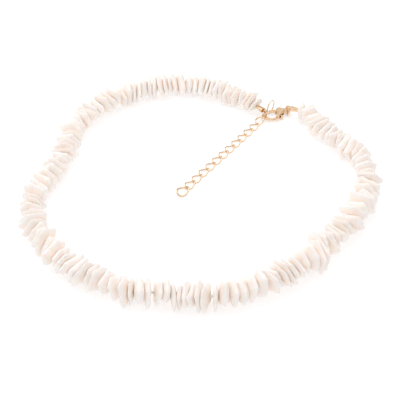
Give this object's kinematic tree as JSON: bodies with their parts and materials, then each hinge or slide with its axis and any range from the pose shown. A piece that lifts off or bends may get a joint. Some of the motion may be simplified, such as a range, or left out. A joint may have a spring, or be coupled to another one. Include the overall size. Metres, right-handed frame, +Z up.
{
  "type": "shell necklace",
  "caption": "Short necklace of uneven drilled shell chips on one thread, laid as an open loop, with a lobster clasp, cord ends and a short extender chain inside the loop.",
  "frame": {"origin": "on the table, under the middle of the laid-out necklace's bounding box", "axes": "+Z up from the table; +Y towards the clasp's side of the loop; +X towards the clasp's tail"},
  "size_m": [0.1273, 0.1193, 0.01],
  "materials": {
    "shell": "satin",
    "thread": "matte",
    "gold": "polished"
  },
  "bodies": {
    "necklace": {"thread": "thread", "shell_chips_right": "shell", "shell_chips_left": "shell", "left_cord_end": "gold", "right_cord_end": "gold", "left_ring": "gold", "right_ring": "gold", "gate_ring": "gold", "clasp_body": "gold", "link_01": "gold", "link_02": "gold", "link_03": "gold", "link_04": "gold", "link_05": "gold", "link_06": "gold", "link_07": "gold", "link_08": "gold", "link_09": "gold", "link_10": "gold", "link_11": "gold", "link_12": "gold", "end_link": "gold"},
    "lever": {"clasp_lever": "gold"}
  },
  "joints": [
    {"name": "lever_pivot", "type": "hinge", "parent": "necklace", "child": "lever", "pos_m": [0.03074, 0.03997, 0.0012], "axis": [0, 0, 1], "range_deg": [0, 20], "stiffness_Nm_per_rad": 0.002, "springref_deg": -17.19}
  ]
}
